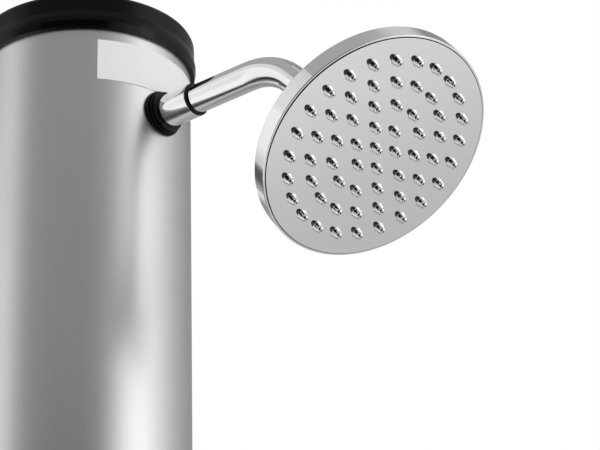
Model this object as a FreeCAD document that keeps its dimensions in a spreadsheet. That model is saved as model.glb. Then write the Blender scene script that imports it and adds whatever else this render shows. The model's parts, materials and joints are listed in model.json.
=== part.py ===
"""Outdoor shower post: a solar-heated water tube on a foot, with a mixer, a foot tap and a rain head.

Millimetres and degrees. +Z is up, the origin is the centre of the foot's underside and the shower
arm points along -Y. Pieces that cross the tube's wall are modelled about their own axis, where
local z is the distance from the tube's axis.
"""
import FreeCAD, Part
import Sketcher
import math
import os
import re

doc = FreeCAD.newDocument("OutdoorShowerPost")
Vector = FreeCAD.Vector

# ------------------------------------------------------------------------------ driving sizes
SIZES = {
    # clearances
    "slip_fit": 0.1,
    "run_fit": 0.05,
    "air_gap": 0.3,
    # whole post
    "total_height": 2170.0,
    "tube_radius": 71.0,
    "tube_wall": 2.0,
    # foot
    "foot_radius": 115.0,
    "foot_edge": 7.0,
    "foot_crown": 15.0,
    "foot_ledge": 10.0,
    "foot_ledge_radius": 58.0,
    "foot_socket_wall": 6.0,
    "foot_socket_height": 55.0,
    "foot_rounding": 2.0,
    "foot_bolt_circle": 97.0,
    "foot_bolt_radius": 4.5,
    # plugs that close the tubes, and their O-rings
    "plug_height": 25.0,
    "plug_wall": 7.0,
    "plug_floor": 6.0,
    "seal_section": 1.7,
    "seal_inset": 10.0,
    # coupling between the two tubes
    "coupling_height": 1085.0,
    "coupling_web": 4.0,
    "coupling_skirt": 14.0,
    "coupling_skirt_wall": 2.6,
    # top cap
    "cap_crown": 2.5,
    "cap_skirt": 22.5,
    "cap_skirt_wall": 2.5,
    "cap_lip": 1.0,
    "cap_lip_height": 8.0,
    "cap_lip_blend": 4.5,
    "cap_cover": 15.0,
    "cap_rounding": 0.8,
    # label
    "label_arc": 78.0,
    "label_height": 29.0,
    "label_drop": 7.9,
    "label_thick": 0.2,
    # shower arm
    "arm_drop": 51.1,
    "arm_radius": 9.4,
    "arm_bore": 7.2,
    "arm_inner_end": 50.0,
    "arm_bend_start": 146.3,
    "arm_bend_radius": 48.3,
    "arm_bend_angle": 46.0,
    "arm_to_ball": 65.9,
    # ribbed rubber grommet round the arm
    "grommet_neck": 2.6,
    "grommet_inside": 64.0,
    "rib_radius": 15.3,
    "rib_front": 72.4,
    "rib_groove": 12.6,
    "rib_gap": 0.8,
    "rib_two_radius": 14.3,
    "rib_two_width": 1.0,
    "rib_three_radius": 13.3,
    "rib_three_width": 1.9,
    "rib_rounding": 0.35,
    # chrome collar on the arm and its O-ring
    "collar_wall": 1.5,
    "collar_length": 23.1,
    "collar_ring_width": 1.5,
    # swivel joint behind the head
    "ball_radius": 11.0,
    "neck_radius": 5.0,
    "stem_bore": 3.0,
    "neck_length": 16.0,
    "stem_flange": 2.0,
    "union_washer": 2.0,
    "union_lip": 3.0,
    "union_length": 19.0,
    "union_wall": 3.2,
    "seat_thick": 1.2,
    "socket_top": 6.5,
    "socket_wall": 2.4,
    "socket_skirt": 9.9,
    # rain head
    "head_drop": 30.0,
    "head_tilt": 5.7,
    "head_side": 2.8,
    "head_turn": 49.0,
    "head_radius": 75.0,
    "head_rim": 11.4,
    "head_wall": 1.6,
    "head_rim_edge": 0.5,
    "head_crown": 5.6,
    "head_boss_radius": 14.6,
    "head_boss_depth": 3.0,
    "head_inlet": 6.0,
    "plate_thick": 2.0,
    "plate_gasket": 1.2,
    "plate_gasket_width": 3.3,
    "nozzle_pitch": 14.77,
    "nozzle_radius": 2.9,
    "nozzle_tip": 1.6,
    "nozzle_height": 6.4,
    "nozzle_bore": 0.55,
    # pipes inside the tank
    "pipe_radius": 8.0,
    "pipe_bore": 6.0,
    "pipe_line": 44.5,
    "pipe_spacing": 22.0,
    "socket_radius": 12.0,
    "socket_depth": 14.0,
    "hot_pipe_gap": 40.0,
    "clip_height": 12.0,
    # fittings through the wall of the tube
    "back_nut": 5.0,
    "back_nut_wall": 6.0,
    "gasket_inside": 62.0,
    "gasket_outside": 75.0,
    "shank_radius": 10.0,
    "flange_radius": 17.0,
    # mixer
    "mixer_gap": 71.0,
    "mixer_shank": 16.0,
    "mixer_rose": 30.0,
    "mixer_rose_thick": 4.0,
    "mixer_radius": 24.0,
    "mixer_reach": 112.0,
    "mixer_wall": 3.0,
    "cartridge_length": 16.0,
    "cartridge_pin": 5.0,
    "cartridge_nut": 5.0,
    "dome_hole": 17.0,
    "lever_shell": 3.0,
    "lever_cover": 74.0,
    "lever_fall": 58.0,
    "lever_length": 96.0,
    "lever_root": 6.0,
    "lever_tip": 4.2,
    "lever_stem": 4.0,
    "lever_pin": 2.0,
    "lever_boss": 6.0,
    # foot tap
    "foot_tap_height": 340.0,
    "tap_rose": 20.0,
    "tap_rose_thick": 3.5,
    "tap_radius": 13.0,
    "tap_reach": 112.0,
    "spout_place": 92.0,
    "spout_radius": 9.0,
    "spout_drop": 34.0,
    "aerator_radius": 10.8,
    "aerator_height": 10.0,
    "bonnet_radius": 9.0,
    "bonnet_flange": 4.0,
    "spindle_radius": 4.0,
    "knob_radius": 12.5,
    "knob_length": 16.0,
    "knob_lever": 48.0,
    "knob_lever_root": 4.6,
    "knob_lever_tip": 3.4,
    # hose inlet and drain
    "inlet_height": 112.0,
    "drain_height": 112.0,
    "inlet_hex": 6.0,
    "inlet_thread": 13.2,
    "inlet_thread_length": 16.0,
    "hose_washer": 2.0,
    "adapter_wall": 4.0,
    "adapter_grip": 13.0,
    "nipple_radius": 8.0,
    "nipple_length": 28.0,
    "nipple_groove": 1.4,
    "drain_head": 9.0,
}

sheet = doc.addObject("Spreadsheet::Sheet", "Dims")
for row, (alias, number) in enumerate(SIZES.items(), start=1):
    sheet.set(f"A{row}", alias)
    sheet.set(f"B{row}", str(number))
    sheet.setAlias(f"B{row}", alias)
doc.recompute()

nodes = []


# ---------------------------------------------------------------------------------- helpers
def formula(text):
    """Text written with the names of the sizes, as an expression on the sheet."""
    return re.sub(r"\b[a-z]+(_[a-z]+)+\b", lambda name: "Dims." + name.group(0), text)


def value(text):
    """The number that such a text stands for at present."""
    return float(sheet.evalExpression(formula(text)))


def bind(thing, **properties):
    for name, text in properties.items():
        thing.setExpression(name, formula(text))
    return thing


def place(thing, x="0", y="0", z="0", rotation=None):
    """Put a piece where the texts say, and keep it there when a size changes."""
    thing.Placement = FreeCAD.Placement(Vector(0, 0, 0), rotation or FreeCAD.Rotation())
    for axis, text in (("x", x), ("y", y), ("z", z)):
        if text != "0":
            thing.setExpression(f"Placement.Base.{axis}", formula(text))
    return thing


def node(thing, name):
    """Name a finished piece and keep it for the export."""
    thing.Label = name
    nodes.append(thing)
    return thing


def brick(name, length, width, height, **where):
    thing = doc.addObject("Part::Box", name)
    bind(thing, Length=length, Width=width, Height=height)
    return place(thing, **where)


def cylinder(name, radius, height, **where):
    thing = doc.addObject("Part::Cylinder", name)
    bind(thing, Radius=radius, Height=height)
    return place(thing, **where)


def cone(name, root, tip, height, **where):
    thing = doc.addObject("Part::Cone", name)
    bind(thing, Radius1=root, Radius2=tip, Height=height)
    return place(thing, **where)


def sphere(name, radius, **where):
    thing = doc.addObject("Part::Sphere", name)
    bind(thing, Radius=radius)
    return place(thing, **where)


def ring(name, radius, section, **where):
    thing = doc.addObject("Part::Torus", name)
    bind(thing, Radius1=radius, Radius2=section)
    return place(thing, **where)


def fuse(name, *pieces):
    thing = doc.addObject("Part::MultiFuse", name)
    thing.Shapes = list(pieces)
    thing.Refine = True
    return thing


def cut(name, base, *tools):
    thing = doc.addObject("Part::Cut", name)
    thing.Base = base
    thing.Tool = tools[0] if len(tools) == 1 else fuse(name + "_tools", *tools)
    return thing


def common(name, first, second):
    thing = doc.addObject("Part::Common", name)
    thing.Base = first
    thing.Tool = second
    return thing


def group(name, *pieces):
    thing = doc.addObject("Part::Compound", name)
    thing.Links = list(pieces)
    return thing


def body_plane(body, role):
    return next(part for part in body.Origin.OriginFeatures if part.Role == role)


def new_sketch(body, name, role):
    sketch = body.newObject("Sketcher::SketchObject", name)
    sketch.AttachmentSupport = [(body_plane(body, role), "")]
    sketch.MapMode = "FlatFace"
    return sketch


def hold_point(sketch, corner, axis, text):
    """Keep one corner of an outline at its distance from the origin."""
    if text == "0":
        line = -2 if axis == "DistanceX" else -1
        sketch.addConstraint(Sketcher.Constraint("PointOnObject", corner, 1, line))
        return
    index = sketch.addConstraint(Sketcher.Constraint(axis, -1, 1, corner, 1, value(text)))
    sketch.setExpression(f"Constraints[{index}]", formula(text))


def draw_outline(sketch, corners):
    """A closed outline through corners that are given as (radius, height) texts."""
    count = len(corners)
    spots = [Vector(value(radius), value(height), 0) for radius, height in corners]
    for index in range(count):
        sketch.addGeometry(Part.LineSegment(spots[index], spots[(index + 1) % count]), False)
    for index in range(count):
        sketch.addConstraint(Sketcher.Constraint("Coincident", index, 2, (index + 1) % count, 1))
    for index, (radius, height) in enumerate(corners):
        hold_point(sketch, index, "DistanceX", radius)
        hold_point(sketch, index, "DistanceY", height)


def turned(name, corners, **where):
    """A body turned about its own z axis from an outline."""
    body = doc.addObject("PartDesign::Body", name)
    sketch = new_sketch(body, name + "_outline", "XZ_Plane")
    draw_outline(sketch, corners)
    turn = body.newObject("PartDesign::Revolution", name + "_turn")
    turn.Profile = sketch
    turn.ReferenceAxis = (sketch, ["V_Axis"])
    turn.Angle = 360.0
    sketch.Visibility = False
    return place(body, **where)


def soften(body, radius, *circles):
    """Round the circular edges that have the given (radius, height) in the body's own frame."""
    doc.recompute()
    base = body.Tip
    wanted = [(value(across), value(height)) for across, height in circles]
    names = []
    for number, edge in enumerate(base.Shape.Edges, start=1):
        if not isinstance(edge.Curve, Part.Circle):
            continue
        found = (edge.Curve.Radius, edge.Curve.Center.z)
        if any(math.dist(found, spot) < 1e-4 for spot in wanted):
            names.append(f"Edge{number}")
    fillet = body.newObject("PartDesign::Fillet", body.Name + "_round")
    fillet.Base = (base, names)
    bind(fillet, Radius=radius)
    return body


def six_sided(name, piece, corner_radius, **where):
    """Cut a turned piece to a hexagon."""
    prism = doc.addObject("Part::Prism", name + "_hexagon")
    prism.Polygon = 6
    bind(prism, Circumradius=corner_radius, Height="total_height / 4")
    place(prism, **where)
    return common(name, piece, prism)


def bored_pipe(name, radius, bore, length, **where):
    return turned(name, [(bore, "0"), (radius, "0"), (radius, length), (bore, length)], **where)


def facing(azimuth):
    """Turn local z to a horizontal direction, given by its angle from +X."""
    angle = math.radians(azimuth)
    return FreeCAD.Rotation(Vector(0, 0, 1), Vector(math.cos(angle), math.sin(angle), 0))


FRONT = facing(-90)
REAR = facing(90)
SIDE = facing(0)

# heights and radii that several pieces share
TUBE_INSIDE = "tube_radius - tube_wall"
CAP_EDGE = "total_height - cap_crown - cap_skirt"
TUBE_TOP = f"{CAP_EDGE} + cap_cover"
ARM_HEIGHT = f"{CAP_EDGE} - arm_drop"
MIXER_HEIGHT = "(coupling_height + coupling_skirt + mixer_gap + mixer_rose)"
SOCKET_BORE = "pipe_radius + slip_fit"
PLUG_RADIUS = f"{TUBE_INSIDE} - slip_fit"
SEAL_CENTRE = f"{TUBE_INSIDE} - run_fit - seal_section"
GROOVE_FLOOR = f"{SEAL_CENTRE} - seal_section - run_fit"
GROOVE_HALF = "(seal_section + slip_fit)"


def seal_groove(height):
    """Outline corners of the groove for an O-ring, round a plug that closes a tube."""
    low, high = f"{height} - {GROOVE_HALF}", f"{height} + {GROOVE_HALF}"
    return [(PLUG_RADIUS, low), (GROOVE_FLOOR, low), (GROOVE_FLOOR, high), (PLUG_RADIUS, high)]


# ------------------------------------------------------------------------------------- foot
def make_foot():
    """Round flanged foot with a socket for the tube and four holes for ground anchors."""
    socket = "tube_radius + slip_fit"
    wall = f"{socket} + foot_socket_wall"
    foot = turned("foot_blank", [
        ("foot_ledge_radius", "0"),
        ("foot_radius", "0"),
        ("foot_radius", "foot_edge"),
        (f"{wall} + foot_crown - foot_edge", "foot_crown"),
        (wall, "foot_crown + foot_edge"),
        (wall, "foot_socket_height"),
        (socket, "foot_socket_height"),
        (socket, "foot_ledge"),
        ("foot_ledge_radius", "foot_ledge"),
    ])
    soften(foot, "foot_rounding", ("foot_radius", "foot_edge"), (wall, "foot_socket_height"))
    holes = []
    for quarter in range(4):
        angle = 45 + 90 * quarter
        holes.append(cylinder(f"anchor_hole_{quarter}", "foot_bolt_radius", "foot_socket_height",
                              x=f"foot_bolt_circle * cos({angle} deg)",
                              y=f"foot_bolt_circle * sin({angle} deg)"))
    node(cut("foot", foot, *holes), "base_foot")


def make_tank_bottom():
    """Plug that closes the tank at the foot, with an O-ring in its groove."""
    seal = "(plug_height - seal_inset)"
    plug = turned("tank_plug", [
        ("0", "0"), (PLUG_RADIUS, "0"), *seal_groove(seal),
        (PLUG_RADIUS, "plug_height"), (f"{PLUG_RADIUS} - plug_wall", "plug_height"),
        (f"{PLUG_RADIUS} - plug_wall", "plug_floor"), ("0", "plug_floor"),
    ], z="foot_ledge")
    node(plug, "tank_bottom")
    node(ring("tank_ring", SEAL_CENTRE, "seal_section", z=f"foot_ledge + {seal}"), "tank_bottom_seal")


# ------------------------------------------------------------------------------------ tubes
def wall_bore(name, shank, azimuth, height):
    """Tool that cuts the round hole for a grommet, on one side of the tube only."""
    return cylinder(name, f"{shank} + slip_fit + grommet_neck", "tube_radius * 1.5",
                    z=height, rotation=facing(azimuth))


def make_tube(name, bottom, top, holes):
    outside = cylinder(name + "_outside", "tube_radius", f"{top} - ({bottom})", z=bottom)
    inside = cylinder(name + "_inside", TUBE_INSIDE, f"{top} - ({bottom})", z=bottom)
    bores = [wall_bore(f"{name}_hole_{count}", *hole) for count, hole in enumerate(holes)]
    return node(cut(name, outside, inside, *bores), name)


def make_coupling():
    """Ring that joins the tubes: a skirt outside, a spigot inside and a web between their ends."""
    web_low = "(plug_height - coupling_web / 2)"
    web_high = "(plug_height + coupling_web / 2)"
    skirt_low = "(plug_height - coupling_skirt)"
    skirt_high = "(plug_height + coupling_skirt)"
    bore = "tube_radius + slip_fit"
    skirt = f"{bore} + coupling_skirt_wall"
    inner = f"{PLUG_RADIUS} - plug_wall"
    body = turned("coupling_ring", [
        (inner, "0"), (PLUG_RADIUS, "0"), *seal_groove("seal_inset"), (PLUG_RADIUS, web_low),
        (bore, web_low), (bore, skirt_low), (skirt, skirt_low),
        (skirt, skirt_high), (bore, skirt_high), (bore, web_high), (PLUG_RADIUS, web_high),
        *seal_groove("(2 * plug_height - seal_inset)"),
        (PLUG_RADIUS, "2 * plug_height"), (inner, "2 * plug_height"),
    ], z="coupling_height - plug_height")
    soften(body, "cap_rounding", (skirt, skirt_low), (skirt, skirt_high))
    node(body, "tube_coupling")
    seals = [ring(f"coupling_seal_{count}", SEAL_CENTRE, "seal_section",
                  z=f"coupling_height {sign} (plug_height - seal_inset)")
             for count, sign in enumerate("-+")]
    node(group("coupling_seal_pair", *seals), "coupling_seals")


def make_cap():
    """Black cap: a slightly wider lip below, a straight skirt, a shallow crown and an inner plug."""
    skirt = "tube_radius + slip_fit + cap_skirt_wall"
    lip = f"{skirt} + cap_lip"
    bore = "tube_radius + slip_fit"
    low = "(plug_height - cap_cover)"
    body = turned("cap_body", [
        (f"{PLUG_RADIUS} - plug_wall", "0"), (PLUG_RADIUS, "0"), *seal_groove("seal_inset"),
        (PLUG_RADIUS, "plug_height"), (bore, "plug_height"), (bore, low), (skirt, low),
        (lip, f"{low} + cap_lip_height * 0.6"), (lip, f"{low} + cap_lip_height"),
        (skirt, f"{low} + cap_lip_height + cap_lip_blend"), (skirt, f"{low} + cap_skirt"),
        (f"{skirt} * 0.6", f"{low} + cap_skirt + cap_crown * 0.8"),
        ("0", f"{low} + cap_skirt + cap_crown"),
        ("0", "plug_height + cap_crown"), (f"{PLUG_RADIUS} - plug_wall", "plug_height + cap_crown"),
    ], z=f"{TUBE_TOP} - plug_height")
    soften(body, "cap_rounding", (skirt, f"{low} + cap_skirt"))
    node(body, "top_cap")
    node(ring("cap_ring", SEAL_CENTRE, "seal_section", z=f"{TUBE_TOP} - plug_height + seal_inset"),
         "top_cap_seal")


def make_label():
    """Blank sticker bent round the tube, centred under the cap on the arm's side."""
    height = f"{CAP_EDGE} - label_drop - label_height"
    outer = cylinder("label_outside", "tube_radius + run_fit + label_thick", "label_height", z=height)
    outer.Placement.Rotation = FreeCAD.Rotation(Vector(0, 0, 1), -90 - value("label_arc") / 2)
    bind(outer, Angle="label_arc")
    inner = cylinder("label_inside", "tube_radius + run_fit", "label_height", z=height)
    return node(cut("label", outer, inner), "blank_label")


# --------------------------------------------------------------------------- arm at the tube
COLLAR_START = "(rib_front + 2 * rib_gap + rib_two_width + rib_three_width)"
COLLAR_END = f"({COLLAR_START} + collar_length)"


def make_arm_seat(tube, label):
    """Ribbed grommet over the label's edge, chrome collar, its O-ring and the nut inside."""
    bore = "arm_radius + slip_fit"
    steps = [("rib_radius", "grommet_inside", "rib_front"),
             ("rib_two_radius", "rib_front + rib_gap", "rib_front + rib_gap + rib_two_width"),
             ("rib_three_radius", f"{COLLAR_START} - rib_three_width", COLLAR_START)]
    corners = [(bore, "grommet_inside")]
    for count, (radius, first, last) in enumerate(steps):
        if count:
            corners += [("rib_groove", steps[count - 1][2]), ("rib_groove", first)]
        corners += [(radius, first), (radius, last)]
    corners.append((bore, COLLAR_START))
    blank = turned("arm_grommet_blank", corners, z=ARM_HEIGHT, rotation=FRONT)
    soften(blank, "rib_rounding", *[(radius, end) for radius, first, last in steps
                                    for end in (first, last)])
    node(cut("arm_grommet_cut", blank, tube, label), "arm_grommet")

    collar = f"{bore} + collar_wall"
    sleeve = turned("collar_sleeve", [(bore, COLLAR_START), (collar, COLLAR_START),
                                      (collar, COLLAR_END), (bore, COLLAR_END)],
                    z=ARM_HEIGHT, rotation=FRONT)
    soften(sleeve, "rib_rounding", (collar, COLLAR_START), (collar, COLLAR_END))
    node(sleeve, "arm_collar")
    ring_end = f"{COLLAR_END} + collar_ring_width"
    seal = turned("collar_ring", [(bore, COLLAR_END), (collar, COLLAR_END), (collar, ring_end),
                                  (bore, ring_end)], z=ARM_HEIGHT, rotation=FRONT)
    soften(seal, "collar_ring_width * 0.4", (collar, COLLAR_END), (collar, ring_end))
    node(seal, "collar_o_ring")
    nut = turned("arm_nut_blank", [
        (bore, "grommet_inside - back_nut"), (f"{bore} + back_nut_wall", "grommet_inside - back_nut"),
        (f"{bore} + back_nut_wall", "grommet_inside"), (bore, "grommet_inside")],
        z=ARM_HEIGHT, rotation=FRONT)
    node(six_sided("arm_nut", nut, f"({bore} + back_nut_wall) * 1.08", z=ARM_HEIGHT, rotation=FRONT),
         "arm_lock_nut")


def arm_frame():
    """Where the arm's bend ends, and the direction that the arm has there."""
    bend = math.radians(value("arm_bend_angle"))
    radius = value("arm_bend_radius")
    end = Vector(0, -value("arm_bend_start") - radius * math.sin(bend),
                 value(ARM_HEIGHT) - radius * (1 - math.cos(bend)))
    return end, Vector(0, -math.cos(bend), -math.sin(bend))


def make_arm():
    """Straight pipe, one bend and a straight end for the union nut, bored right through."""
    end, along = arm_frame()
    upright = FreeCAD.Rotation(Vector(0, 0, 1), Vector(0, -1, 0), Vector(1, 0, 0), "XYZ")
    outlet = FreeCAD.Rotation(Vector(0, 0, 1), along)
    last = "arm_to_ball - neck_length - stem_flange - union_washer"

    def rod(part, radius):
        first = cylinder(f"arm_{part}_first", radius, "arm_bend_start - arm_inner_end",
                         y="-arm_inner_end", z=ARM_HEIGHT, rotation=FRONT)
        bend = ring(f"arm_{part}_bend", "arm_bend_radius", radius, y="-arm_bend_start",
                    z=f"{ARM_HEIGHT} - arm_bend_radius", rotation=upright)
        bind(bend, Angle3="arm_bend_angle")
        second = cylinder(f"arm_{part}_second", radius, last,
                          y="-arm_bend_start - arm_bend_radius * sin(arm_bend_angle * 1 deg)",
                          z=f"{ARM_HEIGHT} - arm_bend_radius * (1 - cos(arm_bend_angle * 1 deg))",
                          rotation=outlet)
        return fuse(f"arm_{part}", first, bend, second)

    node(cut("arm", rod("outside", "arm_radius"), rod("inside", "arm_bore")), "shower_arm")


# ----------------------------------------------------------------- swivel joint and rain head
def ball_frame():
    """Ball centre, the arm's own axis there (back towards the arm) and the head's tilted axis."""
    end, along = arm_frame()
    centre = end + along * value("arm_to_ball")
    above = Vector(1, 0, 0).cross(along) * -1
    normal = (along - above * math.tan(math.radians(value("head_tilt")))
              - Vector(1, 0, 0) * math.tan(math.radians(value("head_side"))))
    normal.normalize()
    return centre, along * -1, normal * -1


def on_arm(thing, distance):
    """Place a piece on the arm's end axis, a distance back from the ball's centre."""
    centre, back, up = ball_frame()
    thing.Placement = FreeCAD.Placement(centre + back * distance, FreeCAD.Rotation(Vector(0, 0, 1), back))
    return thing


def on_head(thing, distance):
    """Place a piece on the head's axis, a distance up from the ball's centre."""
    centre, back, up = ball_frame()
    across = (up * -1).cross(Vector(0, 0, 1))
    across.normalize()
    beside = (up * -1).cross(across)
    turn = math.radians(-value("head_turn"))
    first = across * math.cos(turn) + beside * math.sin(turn)
    rotation = FreeCAD.Rotation(first, up.cross(first), up, "ZXY")
    thing.Placement = FreeCAD.Placement(centre + up * distance, rotation)
    return thing


def make_swivel():
    """Hollow ball on a flanged neck, the union nut that holds it to the arm, and the washer."""
    flange = "arm_radius - union_washer / 4"
    ball = sphere("ball_round", "ball_radius")
    neck = cylinder("ball_neck", "neck_radius", "neck_length")
    disc = cylinder("ball_flange", flange, "stem_flange", z="neck_length")
    bore = cylinder("ball_bore", "stem_bore", "neck_length + stem_flange + ball_radius", z="-ball_radius")
    solid = cut("ball_cut", fuse("ball_solid", ball, neck, disc), bore)
    node(on_arm(solid, 0), "swivel_ball")

    washer = bored_pipe("washer_ring", flange, "stem_bore", "union_washer")
    node(on_arm(washer, value("neck_length + stem_flange")), "union_washer")

    inner = "arm_radius + slip_fit"
    outer = f"{inner} + union_wall"
    nut = turned("union_blank", [
        ("neck_radius + air_gap", "0"), (outer, "0"), (outer, "union_length"), (inner, "union_length"),
        (inner, "union_lip"), ("neck_radius + air_gap", "union_lip")])
    soften(nut, "rib_rounding * 2", (outer, "0"), (outer, "union_length"))
    node(on_arm(six_sided("union_hexagon", nut, f"({outer}) * 1.06"), value("neck_length - union_lip")),
         "union_nut")


def make_socket():
    """Seat under the ball, and the threaded ring that keeps the ball in the head's cup."""
    inside = "(ball_radius + run_fit)"
    outside = f"({inside} + seat_thick)"
    zone = sphere("seat_zone", outside)
    zone.Angle1 = -58
    zone.Angle2 = -24
    node(on_head(cut("seat_cut", zone, sphere("seat_hollow", inside)), 0), "ball_seat")

    low = "(socket_skirt + head_boss_depth)"
    thread = "head_boss_radius + slip_fit"
    outer = f"{thread} + socket_wall"
    cup = f"{outside} + run_fit + slip_fit"
    blank = turned("socket_blank", [
        (thread, "0"), (outer, "0"), (outer, f"{low} + socket_top"),
        ("ball_radius * 0.7", f"{low} + socket_top"), ("ball_radius * 0.7", f"{low} + air_gap"),
        (cup, f"{low} + air_gap"), (cup, f"{low} - head_boss_depth + air_gap"),
        (thread, f"{low} - head_boss_depth + air_gap")])
    soften(blank, "rib_rounding * 2", (outer, "0"), (outer, f"{low} + socket_top"))
    hollow = sphere("socket_hollow", inside, z=low)
    node(on_head(cut("socket_cut", blank, hollow), -value(low)), "socket_ring")


def make_head_shell():
    """Chromed shell: straight rim, shallow back and a boss with the cup for the ball."""
    ledge = "(plate_thick + plate_gasket)"
    rim = "head_radius - head_wall"
    inner = f"{rim} - plate_gasket_width"
    back = "(head_rim + head_crown)"
    boss_top = "(head_drop - head_boss_depth)"
    blank = turned("shell_blank", [
        (rim, "0"), ("head_radius", "0"), ("head_radius", "head_rim"),
        ("head_boss_radius + 2 * socket_wall", back), ("head_boss_radius", back),
        ("head_boss_radius", boss_top), ("head_inlet", boss_top),
        ("head_inlet", f"{back} - 2 * head_wall"), ("head_boss_radius", f"{back} - 2 * head_wall"),
        (inner, "head_rim - head_wall"), (inner, ledge), (rim, ledge)])
    soften(blank, "head_rim_edge", ("head_radius", "0"), ("head_radius", "head_rim"))
    cup = sphere("shell_cup", "ball_radius + 2 * run_fit + seat_thick", z="head_drop")
    node(on_head(cut("shell_cut", blank, cup), -value("head_drop")), "head_shell")
    gasket = turned("plate_gasket_ring", [
        (f"{inner} + slip_fit", "plate_thick"), (f"{rim} - slip_fit", "plate_thick"),
        (f"{rim} - slip_fit", ledge), (f"{inner} + slip_fit", ledge)])
    node(on_head(gasket, -value("head_drop")), "head_gasket")


NOZZLE_RINGS = 4


def nozzle_feature(body, kind, name, radius, place_radius, count):
    """One boss or bore at its distance from the centre, repeated round the plate."""
    sketch = new_sketch(body, name + "_circle", "XY_Plane")
    centre = Vector(value(place_radius), 0, 0)
    sketch.addGeometry(Part.Circle(centre, Vector(0, 0, 1), value(radius)), False)
    index = sketch.addConstraint(Sketcher.Constraint("Radius", 0, value(radius)))
    sketch.setExpression(f"Constraints[{index}]", formula(radius))
    hold_point_of_circle(sketch, place_radius)
    feature = body.newObject(f"PartDesign::{kind}", name)
    feature.Profile = sketch
    if kind == "Pad":
        bind(feature, Length="nozzle_height",
             TaperAngle="-atan((nozzle_radius - nozzle_tip) / nozzle_height)")
        feature.Reversed = True
    else:
        feature.Type = "ThroughAll"
        feature.Midplane = True
    if count > 1:
        pattern = body.newObject("PartDesign::PolarPattern", name + "_round")
        pattern.Originals = [feature]
        pattern.Axis = (body_plane(body, "Z_Axis"), [""])
        pattern.Angle = 360.0
        pattern.Occurrences = count
        body.Tip = pattern
    sketch.Visibility = False


def hold_point_of_circle(sketch, text):
    """Keep a circle's centre on the x axis at its distance from the origin."""
    if text == "0":
        sketch.addConstraint(Sketcher.Constraint("Coincident", 0, 3, -1, 1))
        return
    sketch.addConstraint(Sketcher.Constraint("PointOnObject", 0, 3, -1))
    index = sketch.addConstraint(Sketcher.Constraint("DistanceX", -1, 1, 0, 3, value(text)))
    sketch.setExpression(f"Constraints[{index}]", formula(text))


def make_face_plate():
    """Face plate with one nozzle at the centre and four rings of six, twelve, eighteen and 24."""
    body = turned("plate_body", [
        ("0", "0"), ("head_radius - head_wall - slip_fit", "0"),
        ("head_radius - head_wall - slip_fit", "plate_thick"), ("0", "plate_thick")])
    soften(body, "head_rim_edge / 2", ("head_radius - head_wall - slip_fit", "0"))
    for kind, name, radius in (("Pad", "nozzle", "nozzle_radius"), ("Pocket", "bore", "nozzle_bore")):
        nozzle_feature(body, kind, name + "_centre", radius, "0", 1)
        for number in range(1, NOZZLE_RINGS + 1):
            nozzle_feature(body, kind, f"{name}_ring_{number}", radius,
                           f"nozzle_pitch * {number}", 6 * number)
    node(on_head(body, -value("head_drop")), "face_plate")


# --------------------------------------------------------------------------- pipes in the tank
PIPE_Y = "-pipe_line"
PIPE_BACK = "(pipe_line - socket_radius - tube_wall)"


def socketed(name, arms, bores):
    """A moulded fitting: its round arms joined, then its bores and sockets cut."""
    return cut(name, fuse(name + "_solid", *arms), *bores)


def upright_bore(name, top, bottom, x="0"):
    return cylinder(name, "pipe_bore", f"{top} - ({bottom})", x=x, y=PIPE_Y, z=bottom)


def upright_socket(name, bottom, x="0"):
    return cylinder(name, SOCKET_BORE, "socket_depth", x=x, y=PIPE_Y, z=bottom)


ELBOW_LOW = f"({ARM_HEIGHT} - 2 * socket_depth - slip_fit)"
MIXER_HIGH = f"({MIXER_HEIGHT} + 3 * socket_depth)"
MIXER_LOW = f"({MIXER_HEIGHT} - 3 * socket_depth)"
TAP_HIGH = "(foot_tap_height + 2.5 * socket_depth)"
TAP_LOW = "(foot_tap_height - 2.5 * socket_depth)"
INLET_HIGH = "(inlet_height + 2.5 * socket_depth)"


def make_arm_elbow():
    """Elbow between the riser pipe and the inner end of the arm."""
    nut_inside = "grommet_inside - back_nut"
    arms = [cylinder("elbow_across", "arm_radius + slip_fit + tube_wall", f"{nut_inside} - pipe_line",
                     y=PIPE_Y, z=ARM_HEIGHT, rotation=FRONT),
            cylinder("elbow_up", "socket_radius", f"{ARM_HEIGHT} + socket_radius - {ELBOW_LOW}",
                     y=PIPE_Y, z=ELBOW_LOW)]
    bores = [cylinder("elbow_arm_socket", "arm_radius + slip_fit", "tube_radius",
                      y="-arm_inner_end", z=ARM_HEIGHT, rotation=FRONT),
             cylinder("elbow_arm_bore", "pipe_bore", "tube_radius", y=PIPE_Y, z=ARM_HEIGHT, rotation=FRONT),
             upright_bore("elbow_bore", ARM_HEIGHT, ELBOW_LOW),
             upright_socket("elbow_socket", ELBOW_LOW)]
    node(socketed("elbow", arms, bores), "arm_elbow")


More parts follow.
